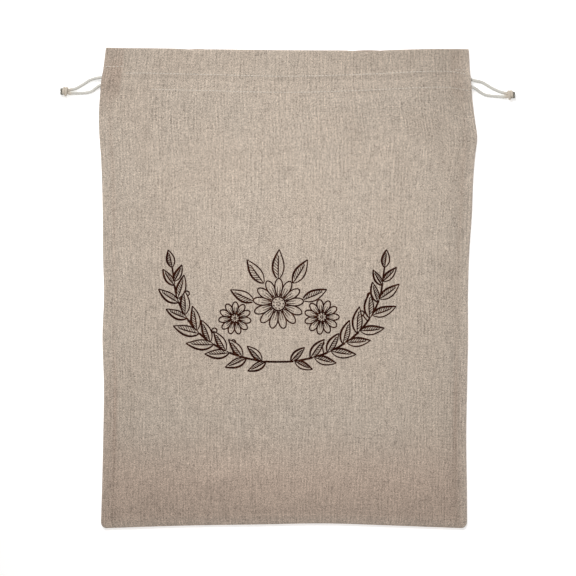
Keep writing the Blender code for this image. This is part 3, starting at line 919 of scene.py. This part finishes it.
def cloth_marks(x, y, from_side):
    """The cloth's marks at each point: doubled cloth with painted shade in creases, paler seams, and painted shade
    towards the bottom.
    """
    left, right, crease = (read(ALLOWANCE_SHOWS, column, y) / MM for column in (1, 2, 3))
    strip = np.where(x < 0, left, right) * side_allowance(y, from_side)
    # Painted shade along the crease at the inner edge of the seam allowance
    doubled_and_shaded = np.maximum(strip, crease * bump(from_side - CREASE_IN, CREASE_REACH))
    # Paler near the seams, most along the right side
    beside = np.where(x < 0, PALER_LEFT, PALER_RIGHT) * bump(from_side, PALER_REACH)
    paler_seams = np.maximum(beside, PALER_BELOW * bump(above_bottom(x, y), PALER_REACH))
    # Painted shade: darker and browner towards the bottom
    bottom_shade = smooth_step((BOTTOM_SHADE_FROM - y) / (BOTTOM_SHADE_FROM - BOTTOM_SHADE_FULL))
    return {"doubled_and_shaded": doubled_and_shaded[..., None], "paler_seams": paler_seams[..., None], "bottom_shade": bottom_shade[..., None]}


def even(start, stop, step):
    """Evenly counted stations from start to stop, both included."""
    return np.linspace(start, stop, max(int(round((stop - start) / step)), 1) + 1)


def column_shares(step):
    """Columns from the left seam, -1, to the right one, 1."""
    near = 1 - EDGE_STATIONS / FLAT_HALF
    middle = even(-near[-1], near[-1], step / FLAT_HALF)
    return np.concatenate([-near, middle[1:-1], near[::-1]])


def settled(columns, height_at):
    """(x, y) along a line across the bag whose height depends on x, as the width does on y."""
    x = columns * FLAT_HALF
    for _ in range(SETTLING_ROUNDS):
        y = height_at(x)
        middle, half = side_edges(y)
        x = middle + half * columns
    return x, y


def outer_grid(columns, sags, step):
    """(x, y) of the outer layer's rows, from the bottom seam to where the fold begins."""
    top = lambda x: top_line(x, sags)
    level = even(-HALF_LENGTH + EDGE_STATIONS[-1] + step, 138.0 * MM, step)
    rows = [settled(columns, lambda x, at=at: np.full_like(x, at - HALF_LENGTH)) for at in EDGE_STATIONS]
    rows += [settled(columns, lambda x, at=at: np.full_like(x, at)) for at in level]
    rows += [settled(columns, lambda x, at=at: casing_line(x) + at) for at in even(-28.0 * MM, 12.5 * MM, CASING_STEP)]
    rows += [settled(columns, lambda x, at=at: top(x) - at) for at in even(9.0 * MM, 2.0 * MM, -CASING_STEP)]
    x, y = np.array(rows).transpose(1, 0, 2)
    lift = read(BOTTOM_RISE, 1, x) * (1 - smooth_step((y + HALF_LENGTH) / EDGE_FALL))
    return x, y + lift


def inner_grid(columns, sags):
    """(x, y) of the hem's inner layer, from the fold down to its end, drawn in at the side gaps."""
    top = lambda x: top_line(x, sags)
    rows = [settled(columns, lambda x, at=at: top(x) - at) for at in even(2.0 * MM, 9.0 * MM, CASING_STEP)]
    rows += [settled(columns, lambda x, at=at: casing_line(x) + at) for at in even(12.5 * MM, HEM_END, -CASING_STEP)]
    x, y = np.array(rows).transpose(1, 0, 2)
    middle, half = side_edges(y)
    inset = 1.2 * MM + (HEM_INSET - 1.2 * MM) * in_casing(x, y)
    return middle + (x - middle) * (1 - inset / half), y


# %% [markdown]
# ## The two panels
# Each panel joins its three stretches of rows: the outer layer, the round fold and the inner
# layer. The fold is half an ellipse between the two layers. The grid is the outside of the
# cloth, and a Solidify modifier gives it its thickness inwards.


# %% Panels of cloth
def add_panel(name, sags, step, outer_high, inner_high, facing):
    """One panel as a sheet of cloth; facing is 1 if its outside looks up, -1 if down.

    On the fold, at an angle a from 0 to a half turn, the height goes from the outer to the
    inner layer with the cosine of a, and the cloth reaches out by the sine of a.
    """
    columns = column_shares(step)
    out_x, out_y = outer_grid(columns, sags, step)
    in_x, in_y = inner_grid(columns, sags)
    out_z = outer_high(out_x, out_y, side_distance(out_x, out_y))
    in_z = inner_high(in_x, in_y, side_distance(in_x, in_y))

    angle = np.linspace(0, np.pi, FOLD_STEPS + 2)[1:-1, None]
    share = (1 - np.cos(angle)) / 2
    fold_x = out_x[-1] * (1 - share) + in_x[0] * share
    fold_z = out_z[-1] * (1 - share) + in_z[0] * share
    start_y = out_y[-1] * (1 - share) + in_y[0] * share
    fold_y = start_y + (top_line(fold_x, sags) - start_y) * np.sin(angle)

    x = np.concatenate([out_x, fold_x, in_x])
    y = np.concatenate([out_y, fold_y, in_y])
    z = np.concatenate([out_z, fold_z, in_z])
    past_fold = len(out_x) + FOLD_STEPS // 2
    upwards = np.where(np.arange(len(y))[:, None] < past_fold, y, 2 * HALF_LENGTH - y)
    across = np.broadcast_to(columns * FLAT_HALF, x.shape)
    uv = np.stack([across + 0.2, upwards + 0.3 + 0.7 * (facing < 0)], axis=-1)

    from_side = side_distance(x, y)
    marks = cloth_marks(x, y, from_side)
    faces = grid_faces(*x.shape)
    if facing < 0:
        faces = faces[:, ::-1]
        # Painted shade along the back's mouth, where the front's mouth shades it
        shaded = bump(top_line(x, sags) - y, SHADED_MOUTH)[..., None]
        marks["doubled_and_shaded"] = np.maximum(marks["doubled_and_shaded"], shaded)
    panel = add_piece(name, np.stack([x, y, z], axis=-1), faces, linen, uv=uv, marks=marks)
    thick = panel.modifiers.new("thickness", "SOLIDIFY")
    thick.thickness = CLOTH
    thick.offset = -1.0
    return panel


def front_inner(x, y, from_side):
    """The front hem's inner layer, on its side that faces the inside of the bag."""
    return front_high(x, y, from_side) - hem_thickness(x, y, from_side)


front = add_panel("front_cloth", FRONT_SAGS, COLUMN_STEP, front_side, front_inner, 1)
back = add_panel("back_cloth", BACK_RISES, 1.6 * COLUMN_STEP, back_side, back_hem_high, -1)
for cloth, node, rests_on in ((front, "front_panel", ["back_cloth"]), (back, "back_panel", [])):
    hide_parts(node)

# %% [markdown]
# ## The runs in the casings
# Inside the casings each drawcord runs across the front, turns round in the far side gap and
# comes back across the back. The left cord takes the upper lane in front and the lower one
# behind, and the right cord takes the other two, so the cords never cross. Only their ends
# show, at the side gaps, so their rings stand further apart than those of the tails.

# %% Runs of both drawcords
LANE = 3.2 * MM
CORD_ROOM = 0.06 * MM
RUN_STEP = 1.0 * MM
RUN_POINTS = 12
LANE_COLUMNS = 41
TURN_POINTS = 9


def lane(columns, above_middle, in_front):
    """Middle of a cord along one casing, just inside the outer layer of the cloth."""
    x, y = settled(columns, lambda x: casing_line(x) + above_middle)
    if in_front:
        z = front_high(x, y, side_distance(x, y)) - CLOTH - CORD_ROOM - CORD / 2
    else:
        z = back_side(x, y, side_distance(x, y)) + CLOTH + CORD_ROOM + CORD / 2
    return np.stack([x, y, z], axis=1)


def add_run(side, tail_side, front_route, back_route):
    """One drawcord's run: out along the front lane, half a turn, and back along the back lane."""
    reach = 1 - HEM_INSET / FLAT_HALF
    columns = tail_side * np.linspace(reach, -reach, LANE_COLUMNS)
    out = lane(columns, -tail_side * LANE, True)
    back = lane(columns[::-1], tail_side * LANE, False)
    centre, spoke = (out[-1] + back[0]) / 2, (out[-1] - back[0]) / 2
    bulge = np.array([-tail_side * np.linalg.norm(spoke), 0.0, 0.0])
    angle = np.linspace(0, np.pi, TURN_POINTS + 2)[1:-1, None]
    turn = centre + spoke * np.cos(angle) + bulge * np.sin(angle)
    ends = [np.array(route[:1]) * MM for route in (front_route, back_route)]
    path = even_path(np.concatenate([ends[0], out, turn, back, ends[1]]), RUN_STEP)
    points, lay = twisted(path, UPWARDS, points=RUN_POINTS)
    marks = {"lay": lay, "soil_and_shade": np.zeros((*lay.shape[:2], 1))}
    faces = grid_faces(*points.shape[:2], wrap=True)
    run = add_piece(f"{side}_run", points, faces, cotton, closed=True, marks=marks)
    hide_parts(f"{side}_cord_run")
    print(run.name, "is", round(length_along(path)[-1] / MM), "mm long")


add_run("left", -1, LEFT_FRONT_TAIL, LEFT_BACK_TAIL)
add_run("right", 1, RIGHT_FRONT_TAIL, RIGHT_BACK_TAIL)

# %% [markdown]
# ## Stitches
# Two rows of machine stitches in pale thread hold each hem, about 2.8 mm from stitch to
# stitch, and a short bar on each side closes the seam above the gap. A stitch is a little
# arch of thread that dives into the cloth at both ends. Hundreds of them are one array: a
# round profile carried along each stitch, all laid on the cloth's own height.


# %% Sewing thread
def thread_material():
    """Pale cream cotton thread with the fine turns of its plies."""
    material, tree, shader = new_material("cream thread", 0.8, 0.1)
    place = add_node(tree, "ShaderNodeTexCoord").outputs["Object"]
    plies = noise(tree, place, (2600.0, 2600.0, 2600.0), 1.0)
    patches = noise(tree, place, (90.0, 90.0, 90.0), 1.0)
    colour = blended(tree, patches, (0.66, 0.61, 0.53, 1.0), (0.80, 0.76, 0.69, 1.0))
    tone = sums(tree, "ADD", swing(tree, plies, 0.35), 1.0)
    tree.links.new(brightened(tree, colour, tone), shader.inputs["Base Color"])
    raised(tree, shader, plies, 0.4, 0.08 * MM)
    return material


thread = thread_material()

# %% Rows of stitches
STITCH_PITCH = 2.8 * MM
STITCH_HALF = 1.0 * MM
STITCH_WIDE = 0.33 * MM
STITCH_THICK = 0.24 * MM
STITCH_SIDES = 6
# Along a stitch from its middle: place, share of its full thickness, height above the cloth
STITCH_SHAPE = np.array(
    (
        (-1.0, 0.0, -0.3),
        (-0.9, 0.75, -0.1),
        (-0.5, 1.0, 0.12),
        (0.0, 1.0, 0.16),
        (0.5, 1.0, 0.12),
        (0.9, 0.75, -0.1),
        (1.0, 0.0, -0.3),
    )
)


def stitches(start, stop, height_at, surface, facing, sunk_before=-1.0, seed=SEED):
    """Points of a row of stitches on a surface, from start to stop across the bag.

    Each stitch is slightly longer or shorter and turned by a degree or two. Those before
    the place sunk_before lie sunk in the cloth.
    """
    draw = np.random.default_rng(seed)
    middle = even(start, stop, STITCH_PITCH)
    count = len(middle)
    middle = middle + draw.normal(0, 0.12 * MM, count)
    half = STITCH_HALF * draw.normal(1, 0.05, count)
    tilt = draw.normal(0, 0.03, count)
    along = half[:, None] * STITCH_SHAPE[:, 0]
    x = middle[:, None] + along
    y = height_at(x) + tilt[:, None] * along
    sunk = 0.6 * MM * (middle < sunk_before)
    rest = surface(x, y, side_distance(x, y)) + facing * (STITCH_SHAPE[:, 2] * MM - sunk[:, None])
    angle = np.arange(STITCH_SIDES) * 2 * np.pi / STITCH_SIDES
    size = STITCH_SHAPE[:, 1, None]
    points_y = y[..., None] + size * STITCH_WIDE * np.cos(angle)
    points_z = rest[..., None] + size * STITCH_THICK * np.sin(angle)
    return np.stack([np.broadcast_to(x[..., None], points_y.shape), points_y, points_z], axis=-1)


def add_stitches(name, rows):
    """Rows of stitches joined into one piece."""
    points = np.concatenate(rows)
    made = add_piece(name, points, several(points), thread, closed=True)
    print(name, "has", len(points), "stitches")
    return made


def row_line(offset):
    """The line of a row of stitches, a fixed way above the casing's middle line."""
    return lambda x: casing_line(x) + offset


UPPER_SPAN = (-133.5 * MM, 146.5 * MM)
LOWER_SPAN = (-148.5 * MM, 148.5 * MM)
INNER_SPAN = (-140.0 * MM, 136.0 * MM)
LOWER_SHOWS_FROM = -113.0 * MM
BARS = ((-151.0, -138.5, 184.0), (139.5, 146.0, 181.2))

front_rows = [
    stitches(*UPPER_SPAN, row_line(UPPER_ROW), front_side, 1, seed=11),
    stitches(*LOWER_SPAN, row_line(LOWER_ROW), front_side, 1, LOWER_SHOWS_FROM, seed=12),
]
for start, stop, high_up in BARS:
    bar_line = lambda x, at=high_up: np.full_like(x, at * MM)
    front_rows.append(stitches(start * MM, stop * MM, bar_line, front_side, 1, seed=13))
add_stitches("front_stitches", front_rows)
inside_front = [stitches(*INNER_SPAN, row_line(row), front_inner, -1, seed=14) for row in (UPPER_ROW, LOWER_ROW)]
inside_back = [stitches(*INNER_SPAN, row_line(row), back_hem_high, 1, seed=15) for row in (UPPER_ROW, LOWER_ROW)]
add_stitches("inner_stitches", inside_front + inside_back)
back_rows = [stitches(*LOWER_SPAN, row_line(row), back_side, -1, seed=16) for row in (UPPER_ROW, LOWER_ROW)]
add_stitches("back_stitches", back_rows)

# %% [markdown]
# ## The print
# The front carries a line drawing in dark brown ink, about 200 by 100 mm. The one here is a
# plain garland of its own: two leafy branches that meet below, and three daisies between
# them. Every line is a flat ribbon that lies a tenth of a millimetre on the cloth and follows
# its folds. Its width swells and tapers as a pen's does.
#
# What is in front is drawn first and its outline is kept, so that the lines of what lies
# behind stop where they reach it.

# %% Ink
INK = (0.020, 0.003, 0.001, 1.0)
WORN_INK = (0.085, 0.030, 0.014, 1.0)
INK_GRAIN = 1150.0


def ink_material():
    """Brown ink on linen: thinner on the high threads of the weave, matt, a little uneven."""
    material, tree, shader = new_material("brown ink", 0.9, 0.0)
    shader.inputs["Specular IOR Level"].default_value = 0.05
    place = add_node(tree, "ShaderNodeUVMap", uv_map="cloth").outputs[0]
    warp = noise(tree, place, (INK_GRAIN, 160.0, 0.0), 1.0)
    weft = noise(tree, place, (160.0, INK_GRAIN, 0.0), 1.0)
    patches = noise(tree, place, (60.0, 60.0, 0.0), 2.0)
    worn = sums(tree, "ADD", swing(tree, warp, 1.6), swing(tree, weft, 1.2))
    worn = sums(tree, "ADD", worn, swing(tree, patches, 0.8))
    share = between(tree, worn, -0.1, 0.6)
    tree.links.new(blended(tree, share, INK, WORN_INK), shader.inputs["Base Color"])
    raised(tree, shader, worn, 0.4, 0.08 * MM)
    return material


ink = ink_material()

# %% Pen strokes
PRINT_AT = np.array([-8.0, -16.0])
BOLD, PLAIN, FINE = 1.75, 1.15, 0.6
INK_LIFT = 0.12 * MM
drawn = {"points": [], "uv": [], "faces": [], "count": 0, "outlines": []}


def inside(points, outline):
    """Which points lie inside a closed outline: those with an odd number of its edges to one side."""
    x, y = points[:, :1], points[:, 1:]
    ax, ay = outline.T
    bx, by = np.roll(outline, -1, axis=0).T
    spans = (ay > y) != (by > y)
    reach = ax + (y - ay) * (bx - ax) / np.where(by == ay, 1.0, by - ay)
    return (spans & (x < reach)).sum(1) % 2 == 1


def stroke(points, wide, taper=0.35, closed=False):
    """A pen line as a ribbon, in millimetres from the middle of the print.

    Its width is the pen's, times taper + (1 - taper) times the root of a half sine along it.
    Stretches that lie behind an outline kept so far are left out.
    """
    if closed:
        points = np.concatenate([points, points[:1]])
    ahead = unit(np.gradient(points, axis=0))
    if closed:
        ahead[[0, -1]] = unit(ahead[0] + ahead[-1])
    aside = np.stack([-ahead[:, 1], ahead[:, 0]], axis=1)
    share = np.linspace(0, 1, len(points))
    swell = np.sqrt(np.sin(np.pi * share)) if not closed else 0.75 + 0.25 * np.sin(4 * np.pi * share)
    half = wide / 2 * (taper + (1 - taper) * swell)[:, None]
    seen = np.ones(len(points), dtype=bool)
    for outline in drawn["outlines"]:
        seen &= ~inside(points, outline)
    both = np.stack([points - aside * half, points + aside * half], axis=1) + PRINT_AT
    x, y = both[..., 0] * MM, both[..., 1] * MM
    z = front_side(x, y, side_distance(x, y)) + INK_LIFT
    faces = grid_faces(len(points), 2)[seen[:-1] & seen[1:]]
    drawn["points"].append(np.stack([x, y, z], axis=-1).reshape(-1, 3))
    drawn["uv"].append(np.stack([x + 0.2, y + 0.3], axis=-1).reshape(-1, 2))
    drawn["faces"].append(faces[:, ::-1] + drawn["count"])
    drawn["count"] += 2 * len(points)


def keep(outline):
    """Lines drawn from now on stop at this outline."""
    drawn["outlines"].append(outline)


# %% Leaves
def leaf(foot, turn, long, wide, bend, shaded=1):
    """A leaf: a bent midrib, an outline on both sides of it and hatching on the shaded side.

    At a share t of its length the half width is wide / 2 times the sine of (pi times t to
    the power 0.8), and the midrib has bent aside by bend times the length times t squared.
    """
    t = np.linspace(0, 1, 22)
    ahead = np.array([np.cos(turn), np.sin(turn)])
    aside = np.array([-ahead[1], ahead[0]])
    rib = foot + long * (t[:, None] * ahead + bend * (t**2)[:, None] * aside)
    half = wide / 2 * np.sin(np.pi * t**0.8)[:, None]
    way = unit(np.gradient(rib, axis=0))
    normal = np.stack([-way[:, 1], way[:, 0]], axis=1)
    upper, lower = rib + normal * half, rib - normal * half
    outline = np.concatenate([upper, lower[-2:0:-1]])
    stroke(upper, BOLD, 0.5)
    stroke(lower, PLAIN, 0.5)
    stroke(rib[:-4], PLAIN, 0.2)
    edge = upper if shaded > 0 else lower
    for at in range(3, 17, 2):
        end = rib[at + 3] + (edge[at + 3] - rib[at + 3]) * 0.85
        share = np.linspace(0, 1, 6)[:, None]
        stroke(rib[at] + (end - rib[at]) * share + 0.25 * normal[at] * share * (1 - share), FINE, 0.3)
    keep(outline)


# %% Daisies and berries
def circle(centre, radius, points=28):
    """Points round a circle."""
    angle = np.linspace(0, 2 * np.pi, points, endpoint=False)
    return centre + radius * np.stack([np.cos(angle), np.sin(angle)], axis=1)


def daisy(centre, radius, petals, start):
    """A daisy: a dotted disc and a ring of round-ended petals with two creases each.

    At a share t of its length a petal's half width is its fullest times the root of the
    sine of (pi times t to the power 1.3).
    """
    disc = 0.27 * radius
    stroke(circle(centre, disc), PLAIN, 0.8, closed=True)
    for ring, dots in ((0.2, 5), (0.55, 9)):
        for dot in circle(centre, ring * disc * 1.3, dots):
            stroke(circle(dot, 0.32, 8), FINE, 1.0, closed=True)
    keep(circle(centre, disc))
    t = np.linspace(0, 1, 24)
    for turn in start + np.arange(petals) * 2 * np.pi / petals:
        ahead = np.array([np.cos(turn), np.sin(turn)])
        aside = np.array([-ahead[1], ahead[0]])
        long = radius - disc
        rib = centre + ahead * (disc + long * t[:, None])
        half = (1.02 * np.pi * radius / petals * 0.62) * np.sqrt(np.sin(np.pi * t**1.3))[:, None]
        petal = np.concatenate([rib + aside * half, (rib - aside * half)[-2:0:-1]])
        stroke(petal, PLAIN, 0.8, closed=True)
        for off in (-0.4, 0.35):
            stroke(rib[2:14] + aside * half[2:14] * off, FINE, 0.3)
        keep(petal)


def berry(foot, centre, radius):
    """A round berry with a curved shade line, on a stalk from the branch."""
    stroke(circle(centre, radius, 18), PLAIN, 0.8, closed=True)
    for inner in (0.72, 0.48):
        stroke(circle(centre, radius * inner, 24)[15:22], FINE, 0.3)
    keep(circle(centre, radius, 18))
    share = np.linspace(0, 1, 8)[:, None]
    stroke(foot + (centre - foot) * share, PLAIN, 0.5)


# %% The garland
# Middle line of the right branch from its cut end to its tip, in millimetres
BRANCH = np.array(((-14.0, -45.0), (14.0, -44.5), (44.0, -36.0), (68.0, -19.0), (83.0, 5.0), (88.0, 33.0)))
BRANCH_LEAVES = 8
FIRST_LEAF, LAST_LEAF = 0.2, 0.93


def branch(mirrored, seed):
    """A leafy branch: its tip leaf, pairs of leaves that grow smaller, and berries inside."""
    draw = np.random.default_rng(seed)
    flip = np.array([-1.0 if mirrored else 1.0, 1.0])
    along = length_along(BRANCH)
    at = np.linspace(0, along[-1], 90)
    line = np.stack([smooth_line(along, BRANCH[:, axis], at) for axis in range(2)], axis=1) * flip
    way = unit(np.gradient(line, axis=0))
    leaf(line[-1], np.arctan2(way[-1, 1], way[-1, 0]), 15.0, 6.4, 0.05)
    for share in np.linspace(LAST_LEAF, FIRST_LEAF, BRANCH_LEAVES):
        place = int(share * (len(line) - 1))
        turn = np.arctan2(way[place, 1], way[place, 0])
        long = 13.0 + 8.5 * np.sin(np.pi * (1 - share) ** 0.8)
        for side in (-1, 1):
            opening = side * draw.uniform(0.62, 0.85)
            size = long * draw.uniform(0.9, 1.08)
            foot = line[max(place - (2 if side > 0 else 0), 0)]
            leaf(foot, turn + opening, size, 0.36 * size, -0.14 * side, shaded=-side)
    inner = 1.0 if not mirrored else -1.0
    for share in (0.36, 0.52, 0.68, 0.82):
        place = int(share * (len(line) - 1))
        turn = np.arctan2(way[place, 1], way[place, 0]) + inner * draw.uniform(1.2, 1.5)
        centre = line[place] + draw.uniform(8.0, 10.5) * np.array([np.cos(turn), np.sin(turn)])
        berry(line[place], centre, 2.1)
    stroke(line, BOLD, 0.75)


daisy(np.array([0.0, 3.0]), 21.0, 13, 0.1)
daisy(np.array([-36.0, -9.0]), 13.5, 11, 0.4)
daisy(np.array([36.0, -8.0]), 14.5, 11, 0.0)
for foot, turn, long in (
    ((-12.0, 20.0), 2.25, 24.0),
    ((12.0, 20.0), 0.95, 23.0),
    ((0.0, 23.0), 1.6, 25.0),
    ((-20.0, 5.0), 2.75, 22.0),
    ((20.0, 6.0), 0.35, 22.0),
):
    leaf(np.array(foot), turn, long, 0.38 * long, 0.06 * np.sign(np.cos(turn)))
branch(False, 21)
branch(True, 22)
points, faces = np.concatenate(drawn["points"]), np.concatenate(drawn["faces"])
design = add_piece("printed_garland", points, faces, ink, uv=np.concatenate(drawn["uv"]))
print("the garland has", len(drawn["faces"]), "strokes")

# %% [markdown]
# ## Light, floor and white
# The photograph is a soft studio picture on white. One broad lamp hangs above the mouth end,
# so the bottom of the bag is a little darker; the room light is a bit warmer and fills the
# rest. The floor gives off a little light of its own, which keeps it white in the shadows.

# %% Floor and light
FLOOR_HALF = 3.0
FLOOR_LOW = 0.2 * MM


def add_floor():
    """A white square, just under the bag."""
    material, tree, shader = new_material("white floor", 0.9, 0.0)
    shader.inputs["Base Color"].default_value = (0.9, 0.9, 0.9, 1.0)
    shader.inputs["Emission Color"].default_value = (1.0, 1.0, 1.0, 1.0)
    shader.inputs["Emission Strength"].default_value = 0.5
    share = np.array([-1.0, 1.0]) * FLOOR_HALF
    x, y = np.meshgrid(share, share)
    points = np.stack([x, y, np.full_like(x, -FLOOR_LOW)], axis=-1)
    mesh = bpy.data.meshes.new("floor")
    mesh.from_pydata(points.reshape(-1, 3).tolist(), [], grid_faces(2, 2).tolist())
    mesh.materials.append(material)
    floor = bpy.data.objects.new("floor", mesh)
    bpy.context.scene.collection.objects.link(floor)


def add_lamp(name, place, aim, size, spread, power, colour):
    """A square lamp that looks at a place on the bag, its beam narrowed to a spread in degrees."""
    data = bpy.data.lights.new(name, "AREA")
    data.size = size
    data.spread = np.radians(spread)
    data.energy = power
    data.color = colour
    lamp = bpy.data.objects.new(name, data)
    lamp.location = place
    direction = Vector(aim) - lamp.location
    lamp.rotation_euler = direction.to_track_quat("-Z", "Y").to_euler()
    bpy.context.scene.collection.objects.link(lamp)


add_floor()
add_lamp("main lamp", (-0.215, 0.576, 0.952), (0.016, 0.017, 0.0), 0.4, 42.0, 0.72, (1.0, 0.99, 0.98))
world = bpy.data.worlds.new("room light")
world.use_nodes = True
world.node_tree.nodes["Background"].inputs["Color"].default_value = (1.0, 0.975, 0.955, 1.0)
world.node_tree.nodes["Background"].inputs["Strength"].default_value = 0.38
bpy.context.scene.world = world
bpy.context.scene.view_settings.view_transform = "Standard"
